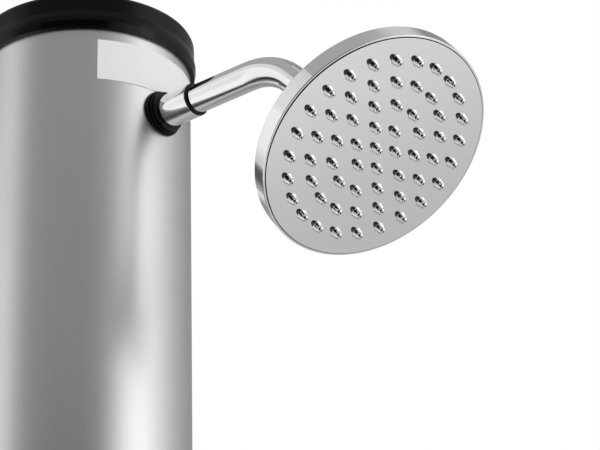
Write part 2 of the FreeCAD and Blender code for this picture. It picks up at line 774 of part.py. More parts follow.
def make_manifold():
    """Block behind the mixer: cold in from below, hot in and mixed out above."""
    inner_end = "(gasket_inside - back_nut)"
    hot = "-pipe_spacing"
    low_end = f"{MIXER_HEIGHT} - socket_depth / 2"
    high_end = f"{MIXER_HEIGHT} + socket_depth / 2"
    arms = [cylinder("manifold_block", "pipe_spacing", f"{inner_end} - {PIPE_BACK}",
                     y=f"-{PIPE_BACK}", z=MIXER_HEIGHT, rotation=FRONT),
            cylinder("manifold_line", "socket_radius", f"{MIXER_HIGH} - {MIXER_LOW}",
                     y=PIPE_Y, z=MIXER_LOW),
            cylinder("manifold_hot", "socket_radius", f"{MIXER_HIGH} - {MIXER_HEIGHT}",
                     x=hot, y=PIPE_Y, z=MIXER_HEIGHT)]
    bores = [upright_bore("manifold_mixed_bore", MIXER_HIGH, high_end),
             upright_bore("manifold_cold_bore", low_end, MIXER_LOW),
             upright_bore("manifold_hot_bore", MIXER_HIGH, high_end, x=hot),
             upright_socket("manifold_mixed_socket", f"{MIXER_HIGH} - socket_depth"),
             upright_socket("manifold_hot_socket", f"{MIXER_HIGH} - socket_depth", x=hot),
             upright_socket("manifold_cold_socket", MIXER_LOW)]
    node(socketed("manifold", arms, bores), "mixer_manifold")


def make_tap_tee():
    """Tee on the cold pipe behind the foot tap."""
    inner_end = "(gasket_inside - back_nut)"
    half = "(shank_radius + 2 * tube_wall)"
    arms = [cylinder("tap_tee_line", "socket_radius", f"{TAP_HIGH} - {TAP_LOW}", y=PIPE_Y, z=TAP_LOW),
            brick("tap_tee_block", f"2 * {half}", f"{inner_end} - {PIPE_BACK}", f"2 * {half}",
                  x=f"-{half}", y=f"-{inner_end}", z=f"foot_tap_height - {half}")]
    bores = [upright_bore("tap_tee_bore", TAP_HIGH, TAP_LOW),
             upright_socket("tap_tee_top", f"{TAP_HIGH} - socket_depth"),
             upright_socket("tap_tee_bottom", TAP_LOW),
             cylinder("tap_tee_branch_bore", "pipe_bore - tube_wall", "tube_radius",
                      y=PIPE_Y, z="foot_tap_height", rotation=FRONT),
             cylinder("tap_tee_shank", "shank_radius + slip_fit", "tube_radius",
                      y="-arm_inner_end", z="foot_tap_height", rotation=FRONT)]
    node(socketed("tap_tee", arms, bores), "foot_tap_tee")


def make_inlet_tee():
    """Tee at the bottom: hose water comes in from the rear, fills the tank below and rises to the taps."""
    low = "(inlet_height - 1.5 * socket_depth)"
    branch = "-(pipe_line - 1.8 * socket_depth)"
    arms = [cylinder("inlet_tee_line", "socket_radius", f"{INLET_HIGH} - {low}", y=PIPE_Y, z=low),
            cylinder("inlet_tee_branch", "socket_radius", "1.8 * socket_depth",
                     y=PIPE_Y, z="inlet_height", rotation=REAR)]
    bores = [upright_bore("inlet_tee_bore", INLET_HIGH, low),
             upright_socket("inlet_tee_top", f"{INLET_HIGH} - socket_depth"),
             cylinder("inlet_tee_branch_bore", "pipe_bore", "2 * socket_depth",
                      y=PIPE_Y, z="inlet_height", rotation=REAR),
             cylinder("inlet_tee_socket", SOCKET_BORE, "2 * socket_depth",
                      y=f"{branch} - socket_depth", z="inlet_height", rotation=REAR)]
    node(socketed("inlet_tee_cut", arms, bores), "inlet_tee")
    length = f"arm_inner_end + socket_depth - ({branch} - socket_depth)"
    pipe = bored_pipe("inlet_pipe_turned", "pipe_radius", "pipe_bore", length,
                      y=f"{branch} - socket_depth", z="inlet_height", rotation=REAR)
    node(pipe, "inlet_pipe")


CLIP_COUNT = 3


def make_pipes():
    """Cold pipe in two lengths, riser to the arm, hot pick-up that ends high in the tank, and clips."""
    hot_end = f"({TUBE_TOP} - hot_pipe_gap)"
    runs = [("cold_pipe_lower", "0", f"{INLET_HIGH} - socket_depth", f"{TAP_LOW} + socket_depth"),
            ("cold_pipe_upper", "0", f"{TAP_HIGH} - socket_depth", f"{MIXER_LOW} + socket_depth"),
            ("riser_pipe", "0", f"{MIXER_HIGH} - socket_depth", f"{ELBOW_LOW} + socket_depth"),
            ("hot_pipe", "-pipe_spacing", f"{MIXER_HIGH} - socket_depth", hot_end)]
    for name, x, low, high in runs:
        node(bored_pipe(name + "_turned", "pipe_radius", "pipe_bore", f"{high} - ({low})",
                        x=x, y=PIPE_Y, z=low), name)
    clips = []
    for count in range(1, CLIP_COUNT + 1):
        height = f"({MIXER_HIGH} + ({ELBOW_LOW} - {MIXER_HIGH}) * {count} / {CLIP_COUNT + 1})"
        block = brick(f"clip_block_{count}", "pipe_spacing + 2 * socket_radius", "2 * socket_radius",
                      "clip_height", x="-pipe_spacing - socket_radius",
                      y="-pipe_line - socket_radius", z=height)
        holes = [cylinder(f"clip_hole_{count}_{side}", SOCKET_BORE, "clip_height", x=x, y=PIPE_Y, z=height)
                 for side, x in enumerate(("0", "-pipe_spacing"))]
        clips.append(cut(f"clip_{count}", block, *holes))
    node(group("clip_group", *clips), "pipe_clips")


# ------------------------------------------------------------- parts that cross the tube's wall
def wall_grommet(name, tube, shank, flange, azimuth, height):
    """Rubber ring that seals a round shank on both faces of the tube's wall."""
    blank = turned(name + "_blank", [
        (f"{shank} + slip_fit", "gasket_inside"), (flange, "gasket_inside"),
        (flange, "gasket_outside"), (f"{shank} + slip_fit", "gasket_outside")],
        z=height, rotation=facing(azimuth))
    return cut(name, blank, tube)


def back_nut(name, shank, azimuth, height):
    """Six-sided nut on a shank, against the inner face of its grommet."""
    bore = f"{shank} + slip_fit"
    outer = f"{bore} + back_nut_wall"
    blank = turned(name + "_blank", [
        (bore, "gasket_inside - back_nut"), (outer, "gasket_inside - back_nut"),
        (outer, "gasket_inside"), (bore, "gasket_inside")], z=height, rotation=facing(azimuth))
    return six_sided(name, blank, f"({outer}) * 1.08", z=height, rotation=facing(azimuth))


SMALL_FITTINGS = [("foot_tap", -90, "foot_tap_height"),
                  ("inlet", 90, "inlet_height"),
                  ("drain", 0, "drain_height")]


def make_small_seals(tube):
    grommets = [wall_grommet(name + "_grommet", tube, "shank_radius", "flange_radius", azimuth, height)
                for name, azimuth, height in SMALL_FITTINGS]
    node(group("small_grommets", *grommets), "wall_grommets")
    nuts = [back_nut(name + "_nut", "shank_radius", azimuth, height)
            for name, azimuth, height in SMALL_FITTINGS]
    node(group("small_nuts", *nuts), "back_nuts")


def make_mixer(tube):
    """Single-lever mixer: body with its shank, cartridge, retaining nut, dome and lever."""
    height = MIXER_HEIGHT
    node(wall_grommet("mixer_gasket", tube, "mixer_shank", "mixer_rose - air_gap", -90, height),
         "mixer_grommet")
    node(back_nut("mixer_nut", "mixer_shank", -90, height), "mixer_back_nut")

    chamber = "mixer_radius - mixer_wall"
    nut_end = "(mixer_reach - tube_wall)"
    floor = f"({nut_end} - cartridge_nut - cartridge_length)"
    shank_end = "(gasket_inside - back_nut)"
    rose_end = "(gasket_outside + mixer_rose_thick)"
    blank = turned("mixer_blank", [
        ("0", shank_end), ("mixer_shank", shank_end), ("mixer_shank", "gasket_outside"),
        ("mixer_rose", "gasket_outside"), ("mixer_rose", rose_end), ("mixer_radius", rose_end),
        ("mixer_radius", "mixer_reach"), (chamber, "mixer_reach"), (chamber, floor), ("0", floor)],
        z=height, rotation=FRONT)
    soften(blank, "mixer_rose_thick / 2", ("mixer_rose", rose_end))
    soften(blank, "mixer_rose_thick / 4", ("mixer_radius", rose_end))
    ways = [cylinder(f"mixer_way_{count}", "mixer_shank / 5", f"{floor} - {shank_end}",
                     x=f"mixer_shank / 2 * cos({90 + 120 * count} deg)", y=f"-{shank_end}",
                     z=f"{height} + mixer_shank / 2 * sin({90 + 120 * count} deg)", rotation=FRONT)
            for count in range(3)]
    node(cut("mixer_cut", blank, *ways), "mixer_body")

    face = f"({floor} + cartridge_length)"
    cartridge = turned("cartridge_turned", [
        ("0", floor), (f"{chamber} - slip_fit", floor), (f"{chamber} - slip_fit", face),
        ("cartridge_pin + run_fit", face), ("cartridge_pin + run_fit", f"{face} - cartridge_pin"),
        ("0", f"{face} - cartridge_pin")], z=height, rotation=FRONT)
    node(cartridge, "mixer_cartridge")
    nut_bore = "mixer_radius * 0.6"
    nut = turned("cartridge_nut_turned", [
        (nut_bore, face), (f"{chamber} - slip_fit", face), (f"{chamber} - slip_fit", nut_end),
        (nut_bore, nut_end)], z=height, rotation=FRONT)
    node(nut, "cartridge_nut")
    carrier_blank = turned("carrier_turned", [
        ("0", f"{face} - cartridge_pin + air_gap"), ("cartridge_pin", f"{face} - cartridge_pin + air_gap"),
        ("cartridge_pin", f"{face} + air_gap"), (f"{nut_bore} - air_gap", f"{face} + air_gap"),
        (f"{nut_bore} - air_gap", nut_end), ("0", nut_end)], z=height, rotation=FRONT)
    cheek_end = f"({nut_bore} - lever_boss / 2)"
    cheek_start = "(lever_stem + 4 * air_gap)"
    cheeks = [cylinder(f"carrier_cheek_{side}", "lever_boss", f"{cheek_end} - {cheek_start}",
                       x=start, y="-mixer_reach", z=height, rotation=SIDE)
              for side, start in (("right", cheek_start), ("left", f"-{cheek_end}"))]
    pin_hole = cylinder("carrier_pin_hole", "lever_pin + run_fit", f"2 * {cheek_end}",
                        x=f"-{cheek_end}", y="-mixer_reach", z=height, rotation=SIDE)
    node(cut("carrier_cut", fuse("carrier_solid", carrier_blank, *cheeks), pin_hole),
         "cartridge_carrier")
    pin = cylinder("lever_pin_rod", "lever_pin", f"2 * {cheek_end}", x=f"-{cheek_end}",
                   y="-mixer_reach", z=height, rotation=SIDE)
    make_dome_and_lever(height, chamber, pin)


def make_dome_and_lever(height, chamber, pin):
    """Round dome with a hole for the stem, and the lever that turns over it and lifts on the pin."""
    centre = "mixer_reach"
    dome = turned("dome_zone", [
        ("dome_hole", "0"), ("mixer_radius", "0"), ("mixer_radius", "mixer_radius"),
        ("dome_hole", "mixer_radius")], y=f"-{centre}", z=height, rotation=FRONT)
    outside = sphere("dome_outside", "mixer_radius", y=f"-{centre}", z=height)
    inside = sphere("dome_inside", chamber, y=f"-{centre}", z=height)
    node(cut("dome_cut", common("dome_common", dome, outside), inside), "mixer_dome")

    clear = "(mixer_radius + 2 * air_gap)"
    outer = f"({clear} + lever_shell)"
    edge = f"{outer} * cos(lever_cover * 1 deg)"
    trim = cylinder("lever_trim", outer, outer, y=f"-({centre} + {edge})", z=height, rotation=FRONT)
    shell = common("lever_round", sphere("lever_outside", outer, y=f"-{centre}", z=height), trim)
    falling = FreeCAD.Rotation(Vector(1, 0, 0), 90 + value("lever_fall"))
    rod = cone("lever_rod", "lever_root", "lever_tip", "lever_length", y=f"-{centre}", z=height,
               rotation=falling)
    tip = sphere("lever_end", "lever_tip",
                 y=f"-({centre} + lever_length * cos(lever_fall * 1 deg))",
                 z=f"{height} - lever_length * sin(lever_fall * 1 deg)")
    hollow = sphere("lever_hollow", clear, y=f"-{centre}", z=height)
    boss = cylinder("lever_boss_rod", "lever_boss", f"{outer} - lever_boss * 2.5 - lever_shell / 2",
                    y=f"-({centre} + lever_boss * 2.5)", z=height, rotation=FRONT)
    stem_bore = cylinder("lever_stem_bore", "lever_stem + slip_fit", f"{clear} - lever_stem",
                         y=f"-({centre} + lever_stem)", z=height, rotation=FRONT)
    shaped = cut("lever_hollowed", fuse("lever_solid", shell, rod, tip), hollow)
    node(cut("lever_cut", fuse("lever_bossed", shaped, boss), stem_bore), "mixer_lever")
    rod_of_stem = cylinder("stem_rod", "lever_stem", f"{clear} - lever_stem",
                           y=f"-{centre}", z=height, rotation=FRONT)
    node(fuse("stem_on_pin", rod_of_stem, pin), "lever_stem")


def make_foot_tap():
    """Small tap near the foot: body with its spout, valve, spindle, handle and aerator."""
    height = "foot_tap_height"
    rose_end = "(gasket_outside + tap_rose_thick)"
    seat = "(tap_reach - bonnet_flange * 3)"
    blank = turned("tap_blank", [
        ("0", "arm_inner_end"), ("shank_radius", "arm_inner_end"),
        ("shank_radius", "gasket_outside"), ("tap_rose", "gasket_outside"), ("tap_rose", rose_end),
        ("tap_radius", rose_end), ("tap_radius", "tap_reach"), ("0", "tap_reach")],
        z=height, rotation=FRONT)
    soften(blank, "tap_rose_thick / 2", ("tap_rose", rose_end))
    soften(blank, "tap_rose_thick / 5", ("tap_radius", "tap_reach"))
    drop = f"{height} - spout_drop"
    spout = cylinder("spout_rod", "spout_radius", "spout_drop", y="-spout_place", z=drop)
    way = cylinder("tap_way", "pipe_bore", f"{seat} - arm_inner_end", y="-arm_inner_end", z=height,
                   rotation=FRONT)
    outlet = cylinder("spout_bore", "pipe_bore", "spout_drop", y="-spout_place", z=drop)
    chamber = cylinder("tap_chamber", "bonnet_radius + slip_fit", "bonnet_flange * 3", y=f"-{seat}",
                       z=height, rotation=FRONT)
    node(cut("tap_cut", fuse("tap_solid", blank, spout), way, outlet, chamber), "foot_tap_body")

    aerator = turned("aerator_turned", [
        ("pipe_bore", "0"), ("aerator_radius", "0"), ("aerator_radius", "aerator_height"),
        ("pipe_bore", "aerator_height")], y="-spout_place", z=f"{drop} - aerator_height")
    soften(aerator, "spout_radius / 10", ("aerator_radius", "0"), ("aerator_radius", "aerator_height"))
    node(aerator, "foot_tap_aerator")

    bore = "spindle_radius + run_fit"
    bonnet = turned("bonnet_turned", [
        (bore, f"{seat} + slip_fit"), ("bonnet_radius", f"{seat} + slip_fit"),
        ("bonnet_radius", "tap_reach"), ("tap_radius", "tap_reach"),
        ("tap_radius", "tap_reach + bonnet_flange"), (bore, "tap_reach + bonnet_flange")],
        z=height, rotation=FRONT)
    node(bonnet, "foot_tap_bonnet")

    knob = "(tap_reach + bonnet_flange + air_gap)"
    knob_end = f"({knob} + knob_length)"
    spindle_end = f"({knob} + knob_length * 0.7)"
    node(cylinder("spindle_rod", "spindle_radius", f"{spindle_end} - {seat} - air_gap",
                  y=f"-({seat} + air_gap)", z=height, rotation=FRONT), "foot_tap_spindle")
    hub = turned("knob_hub", [
        ("0", knob), ("knob_radius", knob), ("knob_radius", knob_end), ("0", knob_end)],
        z=height, rotation=FRONT)
    soften(hub, "knob_length / 4", ("knob_radius", knob_end))
    middle = f"({knob} + knob_length / 2)"
    bar = cone("knob_bar", "knob_lever_root", "knob_lever_tip", "knob_lever", y=f"-{middle}", z=height)
    end = sphere("knob_end", "knob_lever_tip", y=f"-{middle}", z=f"{height} + knob_lever")
    hole = cylinder("knob_hole", "spindle_radius + slip_fit", f"{spindle_end} - {knob} + slip_fit",
                    y=f"-{knob}", z=height, rotation=FRONT)
    node(cut("knob_cut", fuse("knob_solid", hub, bar, end), hole), "foot_tap_handle")


def make_inlet():
    """Threaded inlet at the rear with a plug for garden hose couplings."""
    height = "inlet_height"
    thread = "(gasket_outside + inlet_hex)"
    mouth = f"({thread} + inlet_thread_length)"
    wide = "arm_inner_end + socket_depth"
    blank = turned("inlet_blank", [
        (SOCKET_BORE, "arm_inner_end"), ("shank_radius", "arm_inner_end"),
        ("shank_radius", "gasket_outside"), ("flange_radius", "gasket_outside"),
        ("flange_radius", thread), ("inlet_thread", thread), ("inlet_thread", mouth),
        ("pipe_bore", mouth), ("pipe_bore", wide), (SOCKET_BORE, wide)], z=height, rotation=REAR)
    body = six_sided("inlet_hexagon", blank, "flange_radius * 1.08", z=height, rotation=REAR)
    node(body, "inlet_connector")
    washer = turned("hose_washer_turned", [
        ("pipe_bore", mouth), ("inlet_thread", mouth), ("inlet_thread", f"{mouth} + hose_washer"),
        ("pipe_bore", f"{mouth} + hose_washer")], z=height, rotation=REAR)
    node(washer, "inlet_washer")
    floor = f"({mouth} + hose_washer)"
    low = f"({floor} - adapter_grip)"
    cup = "inlet_thread + slip_fit"
    outer = f"{cup} + adapter_wall"
    neck = f"({floor} + adapter_wall)"
    groove = f"({neck} + nipple_length * 0.6)"
    tip = f"({neck} + nipple_length)"
    adapter = turned("adapter_turned", [
        (cup, low), (outer, low), (outer, neck), ("nipple_radius", neck), ("nipple_radius", groove),
        ("nipple_radius - nipple_groove", groove),
        ("nipple_radius - nipple_groove", f"{groove} + 2 * nipple_groove"),
        ("nipple_radius", f"{groove} + 2 * nipple_groove"), ("nipple_radius", tip),
        ("nipple_radius * 0.7", tip), ("nipple_radius * 0.7", floor), (cup, floor)],
        z=height, rotation=REAR)
    soften(adapter, "adapter_wall / 4", (outer, low), (outer, neck))
    node(adapter, "hose_adapter")


def make_drain():
    """Screw plug that empties the tank before frost."""
    head = "(gasket_outside + drain_head)"
    plug = turned("drain_blank", [
        ("0", "gasket_inside - back_nut"), ("shank_radius", "gasket_inside - back_nut"),
        ("shank_radius", "gasket_outside"), ("flange_radius", "gasket_outside"),
        ("flange_radius", head), ("0", head)], z="drain_height", rotation=SIDE)
    soften(plug, "drain_head / 5", ("flange_radius", head))
    node(six_sided("drain_hexagon", plug, "flange_radius * 1.08", z="drain_height", rotation=SIDE),
         "drain_plug")


# ---------------------------------------------------------------------------------- assembly
make_foot()
make_tank_bottom()
lower_tube = make_tube("lower_tube", "foot_ledge", "coupling_height - coupling_web / 2", [
    ("shank_radius", azimuth, height) for name, azimuth, height in SMALL_FITTINGS])
upper_tube = make_tube("upper_tube", "coupling_height + coupling_web / 2", TUBE_TOP, [
    ("arm_radius", -90, ARM_HEIGHT), ("mixer_shank", -90, MIXER_HEIGHT)])
make_coupling()
make_cap()
label = make_label()
make_arm_seat(upper_tube, label)
make_arm()
make_swivel()
make_socket()
make_head_shell()
make_face_plate()
make_arm_elbow()
make_manifold()
make_tap_tee()
make_inlet_tee()
make_pipes()
make_small_seals(lower_tube)
make_mixer(upper_tube)
make_foot_tap()
make_inlet()
make_drain()

doc.recompute()
failed = [thing.Name for thing in doc.Objects if {"Invalid", "Error"} & set(thing.State)]
if failed:
    raise RuntimeError(f"not built: {failed}")
os.makedirs("parts", exist_ok=True)
for piece in nodes:
    shape = piece.Shape
    if shape.isNull() or not shape.isValid() or not shape.Solids:
        raise RuntimeError(f"no valid solid: {piece.Label}")
    shape.exportStep(f"parts/{piece.Label}.step")
    print(f"{piece.Label}: {len(shape.Solids)} solid, {shape.Volume / 1000:.1f} cm3")
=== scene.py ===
# %% [markdown]
# # Outdoor shower post
# This lesson dresses a solar garden shower: a tall aluminium tank tube with a black cap, a
# bent chrome arm and a round rain head. The solids come from CAD as a fixed frame. Each
# surface gets a finish made from nodes, and the face of the rain head, which the eye rests
# on, is modelled again with finer nozzles than the solids carry.

# %% The frame
import json
import math

import bpy
from mathutils import Matrix, Vector


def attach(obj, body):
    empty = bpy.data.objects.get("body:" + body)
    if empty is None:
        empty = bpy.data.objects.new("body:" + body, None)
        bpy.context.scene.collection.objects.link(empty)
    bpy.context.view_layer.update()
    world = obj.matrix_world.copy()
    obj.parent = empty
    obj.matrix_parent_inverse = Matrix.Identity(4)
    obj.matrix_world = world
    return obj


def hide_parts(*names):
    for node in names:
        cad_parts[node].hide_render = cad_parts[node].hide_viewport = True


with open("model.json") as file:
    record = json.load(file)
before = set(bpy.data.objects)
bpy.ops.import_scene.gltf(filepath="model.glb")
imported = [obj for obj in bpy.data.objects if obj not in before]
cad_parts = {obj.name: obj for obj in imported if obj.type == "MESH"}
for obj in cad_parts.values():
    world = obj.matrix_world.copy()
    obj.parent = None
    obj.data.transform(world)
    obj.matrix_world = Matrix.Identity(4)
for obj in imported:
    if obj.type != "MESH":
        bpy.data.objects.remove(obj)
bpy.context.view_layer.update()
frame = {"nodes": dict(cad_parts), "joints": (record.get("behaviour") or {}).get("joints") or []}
nodes = frame["nodes"]

# %% [markdown]
# ## Helpers for finishes
# Colours are written as sRGB hex values, as on a paint card, and Blender works with linear
# light, so one function turns one into the other. A second function adds a node with its
# settings and links, which keeps every finish readable as a short list.

# %% Colour and node helpers
MM = 0.001
COLOUR_A, COLOUR_B, MIXED_COLOUR = 6, 7, 2  # sockets of a Mix node that mixes colours


def linear(hex_colour):
    """sRGB hex text as linear red, green, blue and full alpha."""
    parts = [int(hex_colour[place:place + 2], 16) / 255 for place in (1, 3, 5)]
    return [part / 12.92 if part <= 0.04045 else ((part + 0.055) / 1.055) ** 2.4
            for part in parts] + [1.0]


def add(tree, kind, inputs=None, **settings):
    """One node with its settings; an input is a value or the output that feeds it."""
    node = tree.nodes.new(kind)
    for name, setting in settings.items():
        setattr(node, name, setting)
    for name, given in (inputs or {}).items():
        if isinstance(given, bpy.types.NodeSocket):
            tree.links.new(given, node.inputs[name])
        else:
            node.inputs[name].default_value = given
    return node


def finish_named(name, **values):
    """A material of that name, its node tree and its shader, with the shader's values set."""
    material = bpy.data.materials.new(name)
    material.use_nodes = True
    tree = material.node_tree
    shader = tree.nodes["Principled BSDF"]
    for socket, given in values.items():
        shader.inputs[socket.replace("_", " ")].default_value = given
    return material, tree, shader


print("mid grey in linear light:", round(linear("#808080")[0], 3))

# %% [markdown]
# ## Satin aluminium
# The tank tube is drawn aluminium, brushed round its girth and then clear anodised. A plain
# grey would look like paint, so the finish is a metal whose roughness changes in hair-fine
# rings, which spreads a highlight softly. The real scratches are 0.1 mm apart. They are drawn
# about 0.8 mm apart, because finer ones are lost in the render.

# %% Satin aluminium
BRUSH_RINGS_PER_METRE, BRUSH_LENGTHS_PER_METRE, UNEVEN_PER_METRE = 1250, 22, 9
satin_aluminium, tree, shader = finish_named("anodised aluminium brushed", Metallic=1.0)
place = add(tree, "ShaderNodeTexCoord").outputs["Object"]
stretched = add(tree, "ShaderNodeMapping", {"Vector": place, "Scale": (
    BRUSH_LENGTHS_PER_METRE, BRUSH_LENGTHS_PER_METRE, BRUSH_RINGS_PER_METRE)})
scratches = add(tree, "ShaderNodeTexNoise", {
    "Vector": stretched.outputs["Vector"], "Scale": 1.0, "Detail": 3.0, "Roughness": 0.7})
uneven = add(tree, "ShaderNodeTexNoise", {
    "Vector": place, "Scale": UNEVEN_PER_METRE, "Detail": 2.0})
both = add(tree, "ShaderNodeMath", {0: scratches.outputs["Fac"], 1: uneven.outputs["Fac"]},
           operation="ADD")
roughness = add(tree, "ShaderNodeMapRange", {
    "Value": both.outputs[0], "From Min": 0.7, "From Max": 1.3, "To Min": 0.30, "To Max": 0.37})
tree.links.new(roughness.outputs[0], shader.inputs["Roughness"])
tint = add(tree, "ShaderNodeMix", {
    "Factor": scratches.outputs["Fac"],
    COLOUR_A: linear("#DBDBDA"), COLOUR_B: linear("#E6E6E5")}, data_type="RGBA")
tree.links.new(tint.outputs[MIXED_COLOUR], shader.inputs["Base Color"])
grooves = add(tree, "ShaderNodeBump", {
    "Height": scratches.outputs["Fac"], "Strength": 0.07, "Distance": 0.05 * MM})
tree.links.new(grooves.outputs["Normal"], shader.inputs["Normal"])
print(satin_aluminium.name, "rings drawn", 1000 / BRUSH_RINGS_PER_METRE, "mm apart")

# %% [markdown]
# ## Polished chrome
# The arm, the head and the taps are brass or steel under bright chrome plate. Chrome is a
# mirror that takes its look from the room. It gets a very low roughness with faint water
# smears, and a slow waviness of a few centimetres, as polishing leaves on a round bar.

# %% Polished chrome
SMEARS_PER_METRE, WAVES_PER_METRE = 70, 38
polished_chrome, tree, shader = finish_named(
    "chrome plate polished", Base_Color=linear("#F1F1F2"), Metallic=1.0)
place = add(tree, "ShaderNodeTexCoord").outputs["Object"]
smears = add(tree, "ShaderNodeTexNoise", {
    "Vector": place, "Scale": SMEARS_PER_METRE, "Detail": 5.0, "Roughness": 0.6})
roughness = add(tree, "ShaderNodeMapRange", {
    "Value": smears.outputs["Fac"], "From Min": 0.35, "From Max": 0.75,
    "To Min": 0.02, "To Max": 0.075})
tree.links.new(roughness.outputs[0], shader.inputs["Roughness"])
waves = add(tree, "ShaderNodeTexNoise", {
    "Vector": place, "Scale": WAVES_PER_METRE, "Detail": 1.0})
polish = add(tree, "ShaderNodeBump", {
    "Height": waves.outputs["Fac"], "Strength": 0.25, "Distance": 0.08 * MM})
tree.links.new(polish.outputs["Normal"], shader.inputs["Normal"])
print(polished_chrome.name, "has", len(tree.nodes), "nodes")

# %% [markdown]
# ## Black mouldings
# The cap, the coupling ring, the foot and the hose adapter are moulded ABS with a nearly
# glossy skin. The mould leaves a faint grain, drawn here at 0.6 mm so that it shows, and the
# gloss changes slowly where the melt cooled. ABS has an IOR near 1.54. The photographed cap
# is darker than that gives in this room, so the IOR is lowered to come nearer to its tone.
# The seals are EPDM rubber, duller, a little dusty, and faintly pitted. The same finish is
# also painted shade in the nozzles' bores and in a thin ring round the face plate.

# %% Black plastic
ABS_GRAINS_PER_METRE, FLOW_MARKS_PER_METRE = 1 / (0.6 * MM), 16
black_plastic, tree, shader = finish_named("abs moulded black", IOR=1.27)
place = add(tree, "ShaderNodeTexCoord").outputs["Object"]
grain = add(tree, "ShaderNodeTexNoise", {
    "Vector": place, "Scale": ABS_GRAINS_PER_METRE, "Detail": 2.0})
flow = add(tree, "ShaderNodeTexNoise", {
    "Vector": place, "Scale": FLOW_MARKS_PER_METRE, "Detail": 3.0})
roughness = add(tree, "ShaderNodeMapRange", {
    "Value": flow.outputs["Fac"], "From Min": 0.3, "From Max": 0.7,
    "To Min": 0.12, "To Max": 0.18})
tree.links.new(roughness.outputs[0], shader.inputs["Roughness"])
skin = add(tree, "ShaderNodeBump", {
    "Height": grain.outputs["Fac"], "Strength": 0.10, "Distance": 0.03 * MM})
tree.links.new(skin.outputs["Normal"], shader.inputs["Normal"])
shade = add(tree, "ShaderNodeMix", {
    "Factor": flow.outputs["Fac"], COLOUR_A: linear("#040404"), COLOUR_B: linear("#080808")},
    data_type="RGBA")
tree.links.new(shade.outputs[MIXED_COLOUR], shader.inputs["Base Color"])
print(black_plastic.name, "IOR", round(shader.inputs["IOR"].default_value, 2))

# %% Black rubber
RUBBER_PITS_PER_METRE, DUST_PATCHES_PER_METRE = 1400, 90
black_rubber, tree, shader = finish_named("epdm rubber black", IOR=1.33)
place = add(tree, "ShaderNodeTexCoord").outputs["Object"]
pits = add(tree, "ShaderNodeTexNoise", {
    "Vector": place, "Scale": RUBBER_PITS_PER_METRE, "Detail": 2.0})
dust = add(tree, "ShaderNodeTexNoise", {
    "Vector": place, "Scale": DUST_PATCHES_PER_METRE, "Detail": 4.0})
shade = add(tree, "ShaderNodeMix", {
    "Factor": dust.outputs["Fac"], COLOUR_A: linear("#040404"), COLOUR_B: linear("#0B0B0B")},
    data_type="RGBA")
tree.links.new(shade.outputs[MIXED_COLOUR], shader.inputs["Base Color"])
roughness = add(tree, "ShaderNodeMapRange", {
    "Value": dust.outputs["Fac"], "From Min": 0.3, "From Max": 0.7,
    "To Min": 0.36, "To Max": 0.5})
tree.links.new(roughness.outputs[0], shader.inputs["Roughness"])
pitted = add(tree, "ShaderNodeBump", {
    "Height": pits.outputs["Fac"], "Strength": 0.2, "Distance": 0.05 * MM})
tree.links.new(pitted.outputs["Normal"], shader.inputs["Normal"])
print(black_rubber.name, "pits", round(1000 / RUBBER_PITS_PER_METRE, 2), "mm apart")

# %% [markdown]
# ## Label film
# The label is a thin white vinyl film. Vinyl is nearly matt with a slight sheen, and shows
# the faint orange peel of its glue. The label is blank.

# %% White vinyl
GLUE_BUMPS_PER_METRE = 260
white_vinyl, tree, shader = finish_named(
    "vinyl film white", Base_Color=linear("#EBEBEA"), IOR=1.5)
place = add(tree, "ShaderNodeTexCoord").outputs["Object"]
peel = add(tree, "ShaderNodeTexNoise", {
    "Vector": place, "Scale": GLUE_BUMPS_PER_METRE, "Detail": 2.0})
roughness = add(tree, "ShaderNodeMapRange", {
    "Value": peel.outputs["Fac"], "To Min": 0.34, "To Max": 0.46})
tree.links.new(roughness.outputs[0], shader.inputs["Roughness"])
glue = add(tree, "ShaderNodeBump", {
    "Height": peel.outputs["Fac"], "Strength": 0.15, "Distance": 0.02 * MM})
tree.links.new(glue.outputs["Normal"], shader.inputs["Normal"])
print(white_vinyl.name, "peel", round(1000 / GLUE_BUMPS_PER_METRE, 1), "mm wide")

# %% [markdown]
# ## Brass, pipes and valve parts
# The nuts, the inlet's connector and the stems of the taps are turned brass, uneven from the
# tool. The pipes are white polypropylene, and the tees and valve parts are grey acetal. These
# are mostly hidden, but they show when the tube is opened, so each has a surface of its own.

# %% Brass, pipe and acetal
TOOL_MARKS_PER_METRE, CLOUDS_PER_METRE, SKIN_GRAINS_PER_METRE = 500, 60, 1500
brass, tree, shader = finish_named("brass turned", Metallic=1.0)
place = add(tree, "ShaderNodeTexCoord").outputs["Object"]
tool = add(tree, "ShaderNodeTexNoise", {
    "Vector": place, "Scale": TOOL_MARKS_PER_METRE, "Detail": 3.0})
tarnish = add(tree, "ShaderNodeMix", {
    "Factor": tool.outputs["Fac"], COLOUR_A: linear("#B08D45"), COLOUR_B: linear("#D2AE68")},
    data_type="RGBA")
tree.links.new(tarnish.outputs[MIXED_COLOUR], shader.inputs["Base Color"])
roughness = add(tree, "ShaderNodeMapRange", {
    "Value": tool.outputs["Fac"], "To Min": 0.2, "To Max": 0.38})
tree.links.new(roughness.outputs[0], shader.inputs["Roughness"])


